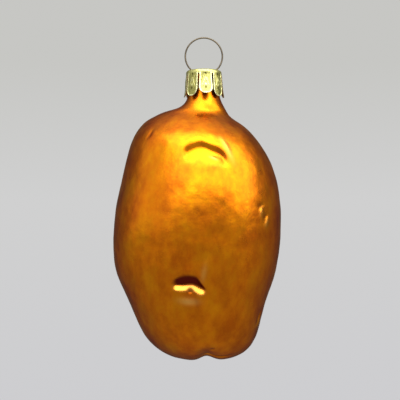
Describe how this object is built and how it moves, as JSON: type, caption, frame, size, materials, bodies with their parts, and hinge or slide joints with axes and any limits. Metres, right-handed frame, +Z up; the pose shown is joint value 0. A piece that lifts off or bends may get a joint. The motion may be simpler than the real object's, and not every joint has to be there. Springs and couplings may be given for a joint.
{
  "type": "blown-glass potato ornament",
  "caption": "Hollow mould-blown glass Christmas ornament shaped as a potato, silvered and lacquered amber, with a petalled metal crown cap and a wire loop to hang it by.",
  "frame": {"origin": "where a hook carries the ornament: the inside of the wire loop's top", "axes": "+Z up along the neck, +X to the right and +Y away from someone who faces the side with the two large eyes, with the loop in the XZ plane"},
  "size_m": [0.0524, 0.0472, 0.101],
  "materials": {
    "lacquered_glass": "satin amber lacquer over silvered glass, opaque",
    "cap_metal": "stamped and embossed, bright with some tarnish",
    "hanger_wire": "drawn wire, bronze-coloured"
  },
  "bodies": {
    "root": {"glass_body": "lacquered_glass", "crown_cap": "cap_metal", "wire_hanger": "hanger_wire"}
  },
  "joints": []
}
